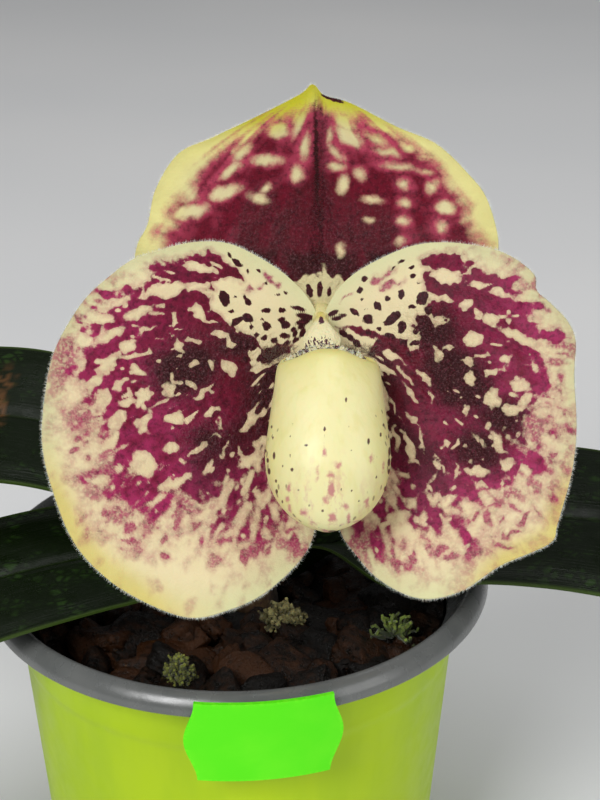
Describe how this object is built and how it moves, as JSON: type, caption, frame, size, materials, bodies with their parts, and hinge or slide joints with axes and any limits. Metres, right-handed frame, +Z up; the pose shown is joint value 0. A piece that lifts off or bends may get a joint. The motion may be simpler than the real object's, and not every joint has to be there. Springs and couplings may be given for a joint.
{
  "type": "paphiopedilum orchid in its pot",
  "caption": "Slipper orchid in flower in its nursery pot, with broad spotted petals round an ivory pouch, strap leaves and pine bark; it stands on a flat base.",
  "frame": {"origin": "centre of the pot's underside, on the surface that it stands on", "axes": "+Z up along the pot's axis; -Y is the way the flower and the label face; +X is the viewer's right, along the longest leaves"},
  "size_m": [0.2228, 0.1147, 0.1676],
  "materials": {
    "lime_plastic": "satin",
    "grey_plastic": "satin",
    "label_paper": "satin",
    "bark": "matte",
    "moss": "matte",
    "rootstock": "matte",
    "leaf": "satin",
    "scape": "matte",
    "petal": "matte",
    "sepal": "matte",
    "lip": "satin"
  },
  "bodies": {
    "root": {"pot_outer_layer": "lime_plastic", "pot_inner_layer": "grey_plastic", "price_label": "label_paper", "bark": "bark", "moss_front": "moss", "moss_right": "moss", "moss_middle": "moss", "rootstock": "rootstock", "leaf_left_lower": "leaf", "leaf_left_upper": "leaf", "leaf_right": "leaf", "leaf_right_back": "leaf", "scape": "scape", "ovary": "scape", "bract": "scape", "petal_left": "petal", "petal_right": "petal", "dorsal_sepal": "sepal", "synsepal": "petal", "lip_pouch": "lip", "column": "lip"}
  },
  "joints": []
}
